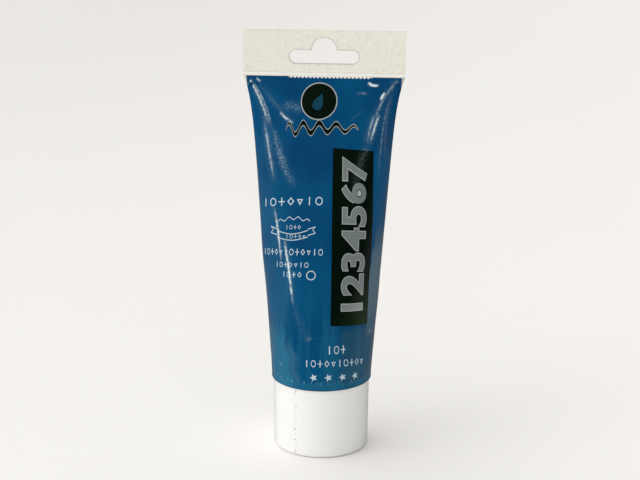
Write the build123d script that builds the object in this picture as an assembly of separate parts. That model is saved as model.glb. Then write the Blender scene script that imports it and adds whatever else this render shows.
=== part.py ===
"""Squeezable plastic paint tube with a hang tail, standing on its screw cap.

All sizes are in millimetres. The origin is the middle of the cap's standing face, +Z runs up through
the cap and the sleeve to the tail, X runs along the tail's width and the printed front faces -Y.
The cap stays on the table, and the sleeve, head, foil and paint screw up and off it as one body.
"""

import os

from build123d import *
from math import asin, pi, sin, sqrt

# Sleeve: an extruded tube, round at the shoulder and sealed flat at the tail.
tube_diameter = 35.0
sleeve_wall = 0.5
body_length = 106.1  # from the shoulder to the tail seal
tail_length = 15.0
even_flare = 0.43  # share of the radius that the half width gains evenly along the body
pinch_power = 15.0  # how late the rest of the half width is gained
swell_power = 2.0  # how full the body stays on its way to the seal
hollow_top = 0.995  # share of the body's height where the two walls meet
fill_top = 0.97  # share of the body's height that the paint reaches
section_count = 18  # sections along the body, closer together near the seal
lip_rounding = 0.4

# Hang slot in the tail: a long slot with a round peg hole on its upper edge.
slot_width = 23.3
slot_height = 4.4
slot_above_seal = 4.0
peg_hole_radius = 4.15

# Screw cap: a tapered shell with a threaded socket inside.
cap_height = 24.7
cap_step = 0.7  # how far the rim stands inside the sleeve's outline
cap_draft = 0.2  # how much smaller the radius is at the standing face
cap_wall = 1.4
cap_edge_rounding = 1.2
end_wall = 1.5
foot_width = 2.6
foot_recess = 0.5
gate_radius = 1.0
gate_height = 0.2
socket_wall = 1.4
rib_count = 8
rib_thickness = 1.0
rib_drop = 2.5  # from the socket's mouth to the ribs' top
bead_height = 0.6
bead_width = 1.2

# Head: shoulder cone, threaded neck and orifice, moulded in one piece.
skirt_height = 2.2  # the band welded inside the sleeve
cone_height = 7.0
head_wall = 1.3
neck_core_radius = 6.4
neck_wall = 2.0
neck_root_step = 0.8  # the cone's foot stands this far outside the neck
orifice_radius = 2.5
tip_web = 2.0
tip_chamfer = 0.6

# Thread, right-handed and with one start.
thread_pitch = 3.0
thread_height = 0.9
thread_root_width = 1.3
thread_crest_width = 0.7
thread_bite = 0.25  # how deep a ridge is rooted in its wall
tip_lead = 1.3  # plain neck before the first turn
root_lead = 1.6  # plain neck after the last turn
mouth_lead = 1.3  # plain socket before its first turn

# Small pieces inside the cap.
liner_thickness = 1.2
foil_thickness = 0.15
foil_margin = 0.3

# Clearances.
rim_gap = 0.2
seat_gap = 0.05
thread_gap = 0.2
liner_gap = 0.3
cone_gap = 0.3
weld_gap = 0.02
fill_gap = 0.3
mouth_gap = 0.8  # from the socket's mouth to the foot of the shoulder cone

# Radii and heights worked out from the sizes above.
tube_radius = tube_diameter / 2
rim_radius = tube_radius - cap_step
foot_radius = rim_radius - cap_draft
shell_radius = rim_radius - cap_wall  # inside of the cap's shell at its rim
crest_radius = neck_core_radius + thread_height
socket_bore = crest_radius + thread_gap
socket_radius = socket_bore + socket_wall
liner_radius = socket_bore - liner_gap
neck_bore = neck_core_radius - neck_wall
cone_foot = neck_core_radius + neck_root_step
skirt_radius = tube_radius - sleeve_wall - weld_gap
cone_radius = shell_radius - cone_gap
cone_slope = (cone_radius - cone_foot) / cone_height
cone_drop = head_wall * sqrt(1 + cone_slope**2) / cone_slope  # the cone's wall measured along Z

floor_z = foot_recess + end_wall
liner_z = floor_z + bead_height + seat_gap
foil_z = liner_z + liner_thickness + seat_gap
tip_z = foil_z + 2 * foil_thickness
ledge_z = cap_height + rim_gap
neck_root_z = ledge_z - cone_height
skirt_z = ledge_z + skirt_height
mouth_z = neck_root_z - mouth_gap
seal_z = ledge_z + body_length
top_z = seal_z + tail_length

flat_half_width = (pi * (tube_diameter - sleeve_wall) / 2 + sleeve_wall) / 2
first_turn_z = tip_z + tip_lead
neck_turns = (neck_root_z - root_lead - first_turn_z) / thread_pitch
socket_turn_z = first_turn_z + thread_pitch / 2  # midway between two turns of the neck
socket_turns = (mouth_z - mouth_lead - socket_turn_z) / thread_pitch


def half_width(share):
    """Half the sleeve's outer width, at a share of the way from the skirt to the seal."""
    gained = even_flare * tube_radius
    pinched = flat_half_width - tube_radius - gained
    return tube_radius + gained * share + pinched * share**pinch_power


def half_thickness(share):
    """Half the sleeve's outer thickness, down to two walls face to face at the seal."""
    swell = 1 - share**swell_power
    return sleeve_wall + (tube_radius - sleeve_wall) * swell


def body_section(share, inset):
    """The sleeve's section at a share of its height, drawn in by an inset."""
    height = skirt_z + share * (seal_z - skirt_z)
    section = Ellipse(half_width(share) - inset, half_thickness(share) - inset)
    return Pos(0, 0, height) * section


def swollen_body(inset, top_share):
    """A solid lofted through the sleeve's sections."""
    step = asin(top_share) / section_count
    shares = [sin(step * index) for index in range(section_count + 1)]
    return loft([body_section(share, inset) for share in shares])


def cylinder_between(radius, low, high):
    """An upright cylinder on the tube's axis."""
    return Pos(0, 0, (low + high) / 2) * Cylinder(radius, high - low)


def turned(points):
    """A solid turned about the tube's axis from a closed outline of radius and height."""
    outline = make_face(Polyline(*points, close=True))
    return revolve(Plane.XZ * outline, Axis.Z)


def thread_ridge(wall_radius, direction, low, turns):
    """A helical ridge on a wall, standing outwards for a direction of 1 and inwards for -1."""
    path = Pos(0, 0, low) * Helix(thread_pitch, turns * thread_pitch, wall_radius)
    root = wall_radius - direction * thread_bite
    crest = wall_radius + direction * thread_height
    corners = [
        (root, low - thread_root_width / 2),
        (crest, low - thread_crest_width / 2),
        (crest, low + thread_crest_width / 2),
        (root, low + thread_root_width / 2),
    ]
    profile = Plane.XZ * make_face(Polyline(*corners, close=True))
    return sweep(profile, path=path, is_frenet=True)


def make_sleeve():
    """The sleeve: a hollow body, a flat sealed tail and the slot it hangs by."""
    skirt = cylinder_between(tube_radius, ledge_z, skirt_z)
    skirt = fillet(skirt.edges().group_by(Axis.Z)[0], lip_rounding)
    body = skirt + swollen_body(0, 1.0)
    tail_thickness = 2 * sleeve_wall
    tail = Pos(0, 0, (seal_z + top_z) / 2) * Box(
        2 * flat_half_width, tail_thickness, tail_length
    )
    bore = cylinder_between(tube_radius - sleeve_wall, ledge_z, skirt_z)
    hollow = bore + swollen_body(sleeve_wall, hollow_top)
    return body + tail - hollow - hang_slot()


def hang_slot():
    """The cutter for the slot and its peg hole, running through the tail."""
    slot_z = seal_z + slot_above_seal + slot_height / 2
    edge_z = slot_z + slot_height / 2
    outline = Pos(0, slot_z) * SlotOverall(slot_width, slot_height)
    outline += Pos(0, edge_z) * Circle(peg_hole_radius)
    return extrude(Plane.XZ * outline, 2 * sleeve_wall, both=True)


def head_hollow(gap):
    """The space inside the head, from the orifice up through the skirt, drawn in by a gap."""
    skirt_bore = skirt_radius - head_wall
    cone_top_z = ledge_z + (skirt_bore - cone_radius) / cone_slope + cone_drop
    bore_top_z = neck_root_z + (neck_bore - cone_foot) / cone_slope + cone_drop
    web_z = tip_z + tip_web
    return turned(
        [
            (0, tip_z + gap),
            (orifice_radius - gap, tip_z + gap),
            (orifice_radius - gap, web_z + gap),
            (neck_bore - gap, web_z + gap),
            (neck_bore - gap, bore_top_z + gap),
            (skirt_bore - gap, cone_top_z + gap),
            (skirt_bore - gap, skirt_z + 2 * gap),
            (0, skirt_z + 2 * gap),
        ]
    )


def make_head():
    """The head: weld skirt, shoulder cone, threaded neck and orifice."""
    outer = turned(
        [
            (0, tip_z),
            (neck_core_radius - tip_chamfer, tip_z),
            (neck_core_radius, tip_z + tip_chamfer),
            (neck_core_radius, neck_root_z),
            (cone_foot, neck_root_z),
            (cone_radius, ledge_z),
            (skirt_radius, ledge_z),
            (skirt_radius, skirt_z),
            (0, skirt_z),
        ]
    )
    ridge = thread_ridge(neck_core_radius, 1, first_turn_z, neck_turns)
    return outer + ridge - head_hollow(0)


def make_cap():
    """The cap: tapered shell, recessed end wall, seal bead, ribs and threaded socket."""
    shell = loft(
        [Circle(foot_radius), Pos(0, 0, cap_height) * Circle(rim_radius)]
    )
    shell = fillet(shell.edges().group_by(Axis.Z)[0], cap_edge_rounding)
    hollow = loft(
        [
            Pos(0, 0, floor_z) * Circle(foot_radius - cap_wall),
            Pos(0, 0, cap_height) * Circle(shell_radius),
        ]
    )
    recess = cylinder_between(foot_radius - foot_width, 0, foot_recess)
    gate_low = foot_recess - gate_height
    gate = cylinder_between(gate_radius, gate_low, foot_recess)
    socket = cylinder_between(socket_radius, floor_z, mouth_z)
    bore = cylinder_between(socket_bore, floor_z, mouth_z)
    bead_radius = (neck_core_radius + orifice_radius) / 2
    bead_top = floor_z + bead_height
    bead = cylinder_between(bead_radius + bead_width / 2, floor_z, bead_top)
    bead -= cylinder_between(bead_radius - bead_width / 2, floor_z, bead_top)
    ridge = thread_ridge(socket_bore, -1, socket_turn_z, socket_turns)
    cap = shell - hollow - recess + gate + make_ribs() + bead
    return cap + (socket - bore + ridge)


def make_ribs():
    """Ribs that tie the socket to the shell, all round."""
    low = floor_z
    high = mouth_z - rib_drop
    inner = socket_bore + socket_wall / 2
    outer = foot_radius - cap_wall / 2
    rib = Pos((inner + outer) / 2, 0, (low + high) / 2) * Box(
        outer - inner, rib_thickness, high - low
    )
    return [Rot(0, 0, 360 * turn / rib_count) * rib for turn in range(rib_count)]


def make_liner():
    """The loose foam disc that the neck presses on the cap's seal bead."""
    return cylinder_between(liner_radius, liner_z, liner_z + liner_thickness)


def make_foil():
    """The foil sealed over the orifice, with its half-round tab folded flat against it."""
    radius = neck_core_radius - foil_margin
    middle_z = foil_z + foil_thickness
    disc = cylinder_between(radius, middle_z, tip_z)
    tab = cylinder_between(radius, foil_z, middle_z)
    tab -= Pos(0, radius, foil_z) * Box(4 * radius, 2 * radius, 4 * foil_thickness)
    return disc + tab


def make_paint():
    """The paint that fills the neck, the shoulder and the body."""
    fill = Pos(0, 0, fill_gap) * swollen_body(sleeve_wall + fill_gap, fill_top)
    return fill + head_hollow(fill_gap)


if __name__ == "__main__":
    os.makedirs("parts", exist_ok=True)
    pieces = {
        "cap": make_cap(),
        "cap_liner": make_liner(),
        "head": make_head(),
        "seal_foil": make_foil(),
        "sleeve": make_sleeve(),
        "paint": make_paint(),
    }
    for name, piece in pieces.items():
        export_step(piece, f"parts/{name}.step")
        print(name, "solids", len(piece.solids()), "volume", round(piece.volume, 1))
    print("thread turns on the neck", round(neck_turns, 2))
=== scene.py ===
"""A squeezable paint tube that stands on its screw cap, with its printed film, sealed tail and studio.

The construction model is the fixed frame. The film, the tail, the print and the paint are new pieces,
and the cap, the liner, the head and the foil keep their shapes and get finished materials.
"""

import math

import bmesh
import bpy
import numpy as np
from mathutils import Matrix, Vector


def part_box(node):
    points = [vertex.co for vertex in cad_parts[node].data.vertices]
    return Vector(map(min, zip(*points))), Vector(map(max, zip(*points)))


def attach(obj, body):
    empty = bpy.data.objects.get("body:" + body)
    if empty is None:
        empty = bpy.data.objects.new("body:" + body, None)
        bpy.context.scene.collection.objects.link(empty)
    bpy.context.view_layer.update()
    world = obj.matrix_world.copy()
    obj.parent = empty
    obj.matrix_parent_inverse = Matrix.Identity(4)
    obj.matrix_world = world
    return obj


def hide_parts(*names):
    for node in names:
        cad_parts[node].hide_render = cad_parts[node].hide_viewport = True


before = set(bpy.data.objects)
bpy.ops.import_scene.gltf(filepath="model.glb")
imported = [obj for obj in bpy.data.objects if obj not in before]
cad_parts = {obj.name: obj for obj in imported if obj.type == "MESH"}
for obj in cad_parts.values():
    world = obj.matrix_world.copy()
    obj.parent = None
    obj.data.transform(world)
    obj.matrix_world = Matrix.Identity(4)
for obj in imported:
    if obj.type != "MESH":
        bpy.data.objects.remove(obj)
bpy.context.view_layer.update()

bl_info = {
    "name": "Paint Tube",
    "version": (1, 0, 0),
    "blender": (4, 5, 0),
    "location": "View3D > Sidebar > Paint Tube",
    "description": "Builds a printed film paint tube around its construction model",
    "category": "Add Mesh",
}

MM = 0.001


# Settings


def length(name, description, default):
    """A length property in metres."""
    return bpy.props.FloatProperty(
        name=name, description=description, default=default, unit="LENGTH", precision=5
    )


def colour(name, description, default):
    """A colour property, in linear red, green and blue."""
    return bpy.props.FloatVectorProperty(
        name=name, description=description, default=default, subtype="COLOR", min=0, max=1
    )


def factor(name, description, default):
    """A plain share property."""
    return bpy.props.FloatProperty(
        name=name, description=description, default=default, subtype="FACTOR", min=0, max=4
    )


def tilt(name, description, degrees):
    """An angle property, given in degrees."""
    return bpy.props.FloatProperty(
        name=name, description=description, default=math.radians(degrees), subtype="ANGLE"
    )


class FilmSettings(bpy.types.PropertyGroup):
    """Sizes and colours of the film from the shoulder up to the seal."""

    wall: length("Wall", "Thickness of the film", 0.5 * MM)
    tail: length("Tail", "Length of the flat tail above the seal", 15.0 * MM)
    skirt: length("Skirt", "Height of the round band that is welded to the head", 2.2 * MM)
    lip: length("Lip", "Rounding of the film's lower edge", 0.4 * MM)
    flare: factor("Flare", "Share of the radius that the half width gains evenly", 0.43)
    swell: factor("Swell", "How full the film stays on its way to the seal", 2.0)
    edge: factor("Edge", "How pointed the sides are at the seal", 0.45)
    creasing: factor("Creasing", "Depth of the creases, as a share of the drawn ones", 1.0)
    paint: colour("Paint", "Colour of the paint seen through the film", (0.0002, 0.074, 0.184))
    # This colour is also the painted shade on the film's lower lip and the fine dark line in the weld.
    shade: colour("Shade", "Colour where the paint lies thicker", (0.0002, 0.05, 0.145))
    # Weld also colours the paler paint streaks near the foot and the painted pale reflection low on the
    # left.
    weld: colour("Weld", "Colour of the welded band", (0.02, 0.17, 0.28))
    # Whitening of the creased film together with painted sparkle of reflected light; this colour also
    # paints the glints over the weld.
    frost: colour("Frost", "Colour of film whitened by creasing", (0.2, 0.38, 0.47))
    fold_light: colour("Fold light", "Reflection along the fold low on the left", (0.07, 0.2, 0.26))
    foot_light: colour("Foot light", "Reflection low on the right", (0.03, 0.1, 0.14))
    side_light: colour("Side light", "Reflection up the right side", (0.12, 0.19, 0.22))
    seal_edge: colour("Seal edge", "Colour of the scalloped edge under the seal", (0.8, 0.79, 0.74))
    corner: colour("Corner", "Colour of the corners that hold no paint", (0.75, 0.75, 0.7))


class TailSettings(bpy.types.PropertyGroup):
    """Sizes and colours of the sealed tail."""

    pocket: length("Pocket", "Distance between the embossed pockets", 1.25 * MM)
    depth: length("Depth", "Depth of the embossed pockets", 0.13 * MM)
    plain: length("Plain band", "Height of the plain band above the seal", 1.1 * MM)
    slot_width: length("Slot width", "Width of the hang slot", 23.3 * MM)
    slot_height: length("Slot height", "Height of the hang slot", 4.4 * MM)
    slot_rise: length("Slot rise", "Distance from the seal to the slot", 4.0 * MM)
    notch: length("Notch", "Radius of the peg notch", 4.15 * MM)
    film: colour("Film", "Colour of the sealed film", (0.83, 0.81, 0.73))
    bright: colour("Bright", "Colour of the plain band", (0.93, 0.93, 0.9))
    seam: colour("Seam", "Colour of the line above the plain band", (0.4, 0.38, 0.36))
    # Painted shade: darkens the film along the slot's cut edge.
    rim: colour("Rim", "Colour of the pressed rim of the slot", (0.33, 0.31, 0.29))


class PrintSettings(bpy.types.PropertyGroup):
    """Sizes and colours of the printing."""

    ink: length("Ink", "Thickness of a layer of ink", 0.03 * MM)
    bar_left: length("Bar left", "Left edge of the dark bar, from the front's middle", 4.1 * MM)
    bar_right: length("Bar right", "Right edge of the dark bar", 18.8 * MM)
    bar_low: length("Bar low", "Lower edge of the dark bar", 48.2 * MM)
    bar_high: length("Bar high", "Upper edge of the dark bar", 107.7 * MM)
    disc: length("Disc", "Radius of the dark disc", 6.3 * MM)
    disc_height: length("Disc height", "Height of the dark disc's middle", 122.7 * MM)
    dark: colour("Dark", "Colour of the dark ink", (0.001, 0.006, 0.0025))
    tint: colour("Tint", "Colour of the thin dark ink with light on it", (0.009, 0.03, 0.008))
    grey: colour("Grey", "Colour of the numerals", (0.17, 0.2, 0.205))
    silver: colour("Silver", "Colour of the outlines", (0.38, 0.42, 0.41))
    pale: colour("Pale", "Colour of the small print", (0.5, 0.62, 0.68))
    teal: colour("Teal", "Colour of the drop", (0.003, 0.05, 0.09))
    # Also stands for painted sparkle of reflected light on the ink's creases.
    creased: colour("Creased", "Colour of ink whitened by creasing", (0.2, 0.3, 0.27))


class CapSettings(bpy.types.PropertyGroup):
    """Colours of the cap and of what it hides."""

    plastic: colour("Plastic", "Colour of the cap", (0.9, 0.9, 0.885))
    scuff: colour("Scuff", "Colour of the scuffs", (0.12, 0.115, 0.11))
    natural: colour("Natural", "Colour of the head's plastic", (0.72, 0.74, 0.73))
    foam: colour("Foam", "Colour of the liner", (0.85, 0.85, 0.82))
    foil: colour("Foil", "Colour of the seal foil", (0.82, 0.82, 0.84))


class StudioSettings(bpy.types.PropertyGroup):
    """The camera and the floor."""

    lens: bpy.props.FloatProperty(
        name="Lens", description="Focal length", default=77.95, unit="CAMERA"
    )
    distance: length("Distance", "From the camera to the point it looks at", 478.8 * MM)
    aim_x: length("Aim across", "Sideways place of the point it looks at", -0.9 * MM)
    aim_z: length("Aim height", "Height of the point it looks at", 74.0 * MM)
    pitch: tilt("Pitch", "How far it looks down", 14.2)
    turn: tilt("Turn", "How far it stands to the right", 4.3)
    roll: tilt("Roll", "How far it is tilted", 0.47)
    floor: colour("Floor", "Colour of the floor", (0.95, 0.935, 0.91))


# The pressed film's shape


RIDGE_POWER = 3  # sharpens the shining ridge, which the mesh carries broader than it looks


class Crease:
    """A bent line on the unrolled film along which it is raised or sunk. Sizes are in millimetres."""

    pieces = 16
    crest = 0.25
    spread = 1.3
    width = 0.55

    def __init__(self, start, bend, end, height, reach, frost=0.0, shine=0.0):
        share = np.linspace(0, 1, self.pieces + 1)[:, None]
        start, bend, end = (np.array(point, float) for point in (start, bend, end))
        pull = 2 * bend - (start + end) / 2  # the control point of a curve through the bend
        self.line = (1 - share) ** 2 * start + 2 * share * (1 - share) * pull + share**2 * end
        self.height, self.reach, self.frost = height, reach, frost
        self.shine = shine ** (1 / RIDGE_POWER)

    def nearness(self, across, up):
        """Each point's distance to the line, and its share of the way along it."""
        points = np.stack([across, up], axis=1)
        nearest = np.full(len(points), np.inf)
        along = np.zeros(len(points))
        for index in range(self.pieces):
            begin, step = self.line[index], self.line[index + 1] - self.line[index]
            share = np.clip((points - begin) @ step / (step @ step), 0, 1)
            gap = np.linalg.norm(points - begin - share[:, None] * step, axis=1)
            closer = gap < nearest
            nearest[closer] = gap[closer]
            along[closer] = (index + share[closer]) / self.pieces
        return nearest, along

    def push(self, across, up):
        """How far the film is pushed outwards, how whitened it is with painted sparkle of reflected light
        and how it shines, at each point.
        """
        gap, along = self.nearness(across, up)
        ends = 1 - np.abs(2 * along - 1) ** 3
        rounded = np.sqrt(gap**2 + self.crest**2) - self.crest
        pushed = self.height * np.exp(-rounded / self.reach) * ends
        whitened = self.frost * np.exp(-((gap / self.spread) ** 2)) * ends
        shining = self.shine * np.exp(-((gap / self.width) ** 2)) * ends
        return pushed, whitened, shining


FRONT_CREASES = [
    Crease((-28.4, 133.5), (-23.8, 123.7), (-19.9, 112.5), 0.5, 2.4, frost=0.6, shine=1.3),
    Crease((-27, 131.5), (-22, 122), (-18.6, 111), 0.1, 1.0, shine=0.6),
    Crease((-27.3, 131.6), (-26, 128.9), (-24.4, 125.4), 0.02, 0.6, shine=2.6),
    Crease((-22.8, 118.5), (-20, 106), (-17.2, 95), 0.3, 1.7, frost=0.9, shine=0.7),
    Crease((-17.5, 88), (-15.2, 79), (-13.3, 67), 0.25, 1.2, frost=0.3, shine=1.4),
    Crease((-12.9, 78), (-10.5, 67), (-8.3, 53), 0.42, 2.0, frost=0.5, shine=1.9),
    Crease((-9, 56), (-6.6, 49.5), (-3.5, 43.5), -0.1, 1.6, frost=0.3, shine=0.01),
    Crease((-23.4, 130), (-22.8, 129.3), (-21.9, 128.4), 0.1, 0.6, shine=1.0),
    Crease((-24, 130), (-18.2, 122), (-10, 115), -0.4, 2.2, frost=0.4, shine=0.06),
    Crease((-16.4, 119.4), (-13.8, 117), (-10, 115.2), 0.12, 0.7, frost=0.3, shine=1.4),
    Crease((-18.6, 114), (-14.6, 103), (-9, 94), 0.25, 3.2, frost=1.3),
    Crease((-15, 120), (-11.3, 121), (-7.6, 118.4), 0.12, 2.4, frost=1.2),
    Crease((-23, 116), (-21, 98), (-17, 78), -0.3, 3.0),
    Crease((27.8, 133), (22, 124), (18, 113.5), 0.5, 2.4, frost=0.7, shine=0.4),
    Crease((22, 126), (21.2, 124.5), (20.6, 122.8), 0.1, 0.9, shine=3.0),
    Crease((20.8, 119), (19.4, 115), (17.2, 108), 0.3, 1.3, frost=1.0, shine=1.3),
    Crease((19.2, 119), (17.6, 114.5), (16.4, 108), -0.15, 1.2, frost=0.8, shine=0.5),
    Crease((17, 109), (14, 102), (11.4, 94), -0.2, 2.2, frost=1.2, shine=0.05),
    Crease((25, 127), (22.2, 113.5), (20.6, 94), 0.22, 1.8, frost=0.3, shine=0.2),
    Crease((25.4, 127), (23.6, 116), (23.2, 100), 0.3, 1.6, frost=0.2, shine=0.1),
    Crease((15.2, 129.2), (16.9, 128.1), (20, 128.1), 0.22, 0.8, shine=2.5),
    Crease((15.5, 129.2), (15.9, 128.5), (16.5, 128.1), 0.1, 0.8, shine=3.0),
    Crease((11.6, 125.2), (13.8, 125.4), (16.2, 125.1), 0.12, 1.2, shine=0.3),
    Crease((9.5, 116.5), (12.4, 118.3), (15.2, 120.6), -0.2, 2.2, shine=0.04),
    Crease((-12, 43.6), (-3, 43.9), (7, 43.9), -0.05, 0.9, shine=0.01),
    Crease((-4.2, 44.5), (-3.3, 43.6), (-2.8, 42.6), -0.1, 0.8, frost=0.5, shine=0.2),
    Crease((19, 44.4), (21, 43.6), (23.5, 42.8), 0.2, 1.2, frost=0.5, shine=0.25),
    Crease((-15, 33.6), (-14.5, 32.7), (-14.2, 31.6), 0.1, 0.8, frost=0.4, shine=0.3),
]
BACK_CREASES = [
    Crease((28.5, 131), (36, 119), (38.5, 96), 0.5, 2.5, frost=0.6, shine=0.6),
    Crease((30, 129), (39, 122), (47, 118), -0.35, 2.2, frost=0.3),
    Crease((38, 100), (41, 80), (47, 62), 0.3, 2.2, frost=0.4, shine=0.4),
    Crease((-28.5, 131), (-35, 121), (-37, 101), 0.5, 2.4, frost=0.6, shine=0.5),
    Crease((-31, 128), (-40, 113), (-46, 92), 0.28, 2.8, frost=0.4),
    Crease((-35, 96), (-37, 76), (-42, 58), -0.25, 2.4, frost=0.2),
    Crease((44, 44), (51, 42), (59, 43), -0.16, 1.2, frost=0.1),
]


FILM_COLUMNS = 300
FILM_ROWS = 285


class FilmForm:
    """The outer face of a round tube that is pressed flat at its seal. Sizes are in millimetres.

    A point is given by its distance round the film from the front's middle, its height and its lift.
    """

    rows = 200
    steps = 160
    reach = 0.05  # how far apart the points are that give the film's slope

    def __init__(self, film):
        low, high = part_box("sleeve")
        self.film = film
        self.radius = (high.y - low.y) / 2 / MM
        self.flat = high.x / MM
        self.wall = film.wall / MM
        self.foot = low.z / MM
        self.skirt = self.foot + film.skirt / MM
        self.seal = (high.z - film.tail) / MM
        self.quarter = math.pi * self.radius / 2
        self.shares = np.linspace(0, 1, self.rows)
        angle = np.linspace(0, math.pi / 2, self.steps)
        self.angles = np.array([self.even_angles(share, angle) for share in self.shares])

    def half_width(self, share):
        """Half the width at a share of the way up to the seal."""
        gained = self.film.flare * self.radius
        pinched = self.flat - self.radius - gained
        return self.radius + gained * share + pinched * share**15

    def half_depth(self, share):
        """Half the depth from front to back, down to two walls at the seal."""
        return self.wall + (self.radius - self.wall) * (1 - share**self.film.swell)

    def section(self, share, angle):
        """A point of the quarter section, by its angle from the front's middle."""
        power = 1 + self.film.edge * share**2
        across = self.half_width(share) * np.sin(angle)
        deep = self.half_depth(share) * np.maximum(np.cos(angle), 0) ** power
        return across, deep

    def even_angles(self, share, angle):
        """The angles that part the quarter section into runs of one length."""
        across, deep = self.section(share, angle)
        runs = np.hypot(np.diff(across), np.diff(deep))
        travelled = np.concatenate([[0], np.cumsum(runs)]) / runs.sum()
        return np.interp(np.linspace(0, 1, self.steps), travelled, angle)

    def unwound(self, around):
        """The distance round from the front's middle, negative on the left and positive on the right."""
        return np.mod(around + 2 * self.quarter, 4 * self.quarter) - 2 * self.quarter

    def smooth_face(self, around, up):
        """Points of the face without its creases."""
        share = np.clip((up - self.skirt) / (self.seal - self.skirt), 0, 1)
        turned = self.unwound(around)
        behind = np.abs(turned) > self.quarter
        quarter_share = np.where(behind, 2 - np.abs(turned) / self.quarter, np.abs(turned) / self.quarter)
        row = share * (self.rows - 1)
        step = quarter_share * (self.steps - 1)
        row_low = np.minimum(row.astype(int), self.rows - 2)
        step_low = np.minimum(step.astype(int), self.steps - 2)
        row_part, step_part = row - row_low, step - step_low
        lower = self.angles[row_low, step_low] * (1 - step_part)
        lower += self.angles[row_low, step_low + 1] * step_part
        upper = (
            self.angles[row_low + 1, step_low] * (1 - step_part)
            + self.angles[row_low + 1, step_low + 1] * step_part
        )
        across, deep = self.section(share, lower * (1 - row_part) + upper * row_part)
        return np.stack([across * np.sign(turned), np.where(behind, deep, -deep), up], axis=1)

    def outward(self, around, up):
        """The outward direction at each point of the face without creases."""
        right = self.smooth_face(around + self.reach, up)
        left = self.smooth_face(around - self.reach, up)
        above = self.smooth_face(around, np.minimum(up + self.reach, self.seal))
        below = self.smooth_face(around, up - self.reach)
        normal = np.cross(right - left, above - below)
        return normal / np.linalg.norm(normal, axis=1)[:, None]

    def pushed(self, around, up):
        """How far the creases push each point, and how whitened, with painted sparkle, and shining the film
        is there.
        """
        turned = self.unwound(around)
        from_back = np.where(turned < 0, turned + 4 * self.quarter, turned)
        push, frost, shine = self.wander(turned, up), np.zeros(len(up)), np.zeros(len(up))
        for crease in FRONT_CREASES + BACK_CREASES:
            behind = crease in BACK_CREASES and crease.line[0, 0] > 0
            more, white, bright = crease.push(from_back if behind else turned, up)
            push, frost, shine = push + more, np.maximum(frost, white), np.maximum(shine, bright)
        calm_top = np.clip((self.seal - up) / 5, 0, 1)
        calm_foot = np.clip((up - self.skirt) / 6, 0, 1)
        room = np.clip(np.abs(self.smooth_face(around, up)[:, 1]) / 3, 0, 1)
        calm = calm_top * calm_foot * calm_foot * (3 - 2 * calm_foot) * room
        return push * calm * self.film.creasing, frost * calm_foot, shine * calm_foot

    def wander(self, around, up):
        """Slow swells of a filled film, in millimetres."""
        turn = around / (2 * self.quarter) * math.pi
        slow = 0.28 * np.sin(turn * 2 + up / 17) + 0.2 * np.sin(turn * 3 - up / 11 + 1)
        short = 0.08 * np.sin(turn * 7 + up / 6) + 0.06 * np.sin(turn * 11 - up / 4.3 + 2)
        return slow + short

    def place(self, around, up, lift):
        """Where the points are, in metres."""
        flat_up = np.minimum(up, self.seal)
        push = self.pushed(around, flat_up)[0]
        face = self.smooth_face(around, flat_up)
        return (face + self.outward(around, flat_up) * (push + lift)[:, None]) * MM


def new_mesh(name, shape):
    """Turns a bmesh into a mesh."""
    mesh = bpy.data.meshes.new(name)
    shape.to_mesh(mesh)
    shape.free()
    return mesh


def new_object(name, data):
    """Puts a mesh, a curve, a light or a camera into the scene."""
    made = bpy.data.objects.new(name, data)
    bpy.context.scene.collection.objects.link(made)
    return made


def doubled(shape):
    """Doubles a drawing's faces, joined round their rims, and gives the new vertices."""
    made = bmesh.ops.extrude_face_region(shape, geom=shape.faces[:])["geom"]
    return [item for item in made if isinstance(item, bmesh.types.BMVert)]


def to_metres(shape):
    """Scales a shape drawn in millimetres and turns its faces outwards."""
    bmesh.ops.scale(shape, verts=shape.verts[:], vec=(MM, MM, MM))
    bmesh.ops.recalc_face_normals(shape, faces=shape.faces[:])


def coordinates(shape):
    """A bmesh's vertices as an array."""
    return np.array([vert.co for vert in shape.verts], float).reshape(-1, 3)


def move_to(shape, places):
    """Gives a bmesh's vertices their new places."""
    for vert, place in zip(shape.verts, places):
        vert.co = place


def press(shape, form):
    """Presses a round tube, drawn in millimetres, into the film's shape."""
    drawn = coordinates(shape)
    around = np.arctan2(drawn[:, 0], -drawn[:, 1]) * form.radius
    lift = np.hypot(drawn[:, 0], drawn[:, 1]) - form.radius
    above = drawn[:, 2] > form.skirt
    places = drawn * MM
    places[above] = form.place(around[above], drawn[above, 2], lift[above])
    move_to(shape, places)
    return around


def wrap(shape, form):
    """Lays a flat drawing in millimetres on the film: its X goes round, its Y up and its Z outwards."""
    drawn = coordinates(shape)
    move_to(shape, form.place(drawn[:, 0], drawn[:, 1], drawn[:, 2]))
    return drawn[:, 0], drawn[:, 1]


# Making pieces


def new_piece(name, shape, material, body):
    """Turns a bmesh into a finished piece that rides on a body."""
    mesh = new_mesh(name, shape)
    mesh.shade_smooth()
    mesh.materials.append(material)
    piece = new_object(name, mesh)
    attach(piece, body)
    return piece


def spun(outline, steps, closed):
    """A shape turned about Z from an outline of radius and height, drawn in front."""
    shape = bmesh.new()
    verts = [shape.verts.new((0, -radius, height)) for radius, height in outline]
    edges = [shape.edges.new(pair) for pair in zip(verts, verts[1:])]
    if closed:
        edges.append(shape.edges.new((verts[-1], verts[0])))
    bmesh.ops.spin(
        shape, geom=verts + edges, axis=(0, 0, 1), cent=(0, 0, 0),
        angle=2 * math.pi, steps=steps, use_merge=True,
    )
    bmesh.ops.remove_doubles(shape, verts=shape.verts[:], dist=1e-4)
    bmesh.ops.recalc_face_normals(shape, faces=shape.faces[:])
    return shape


def keep_mark(piece, name, values):
    """Keeps a value at each point of a piece, for its material."""
    kept = piece.data.attributes.new(name, "FLOAT", "POINT")
    kept.data.foreach_set("value", values.astype(np.float32))


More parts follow.
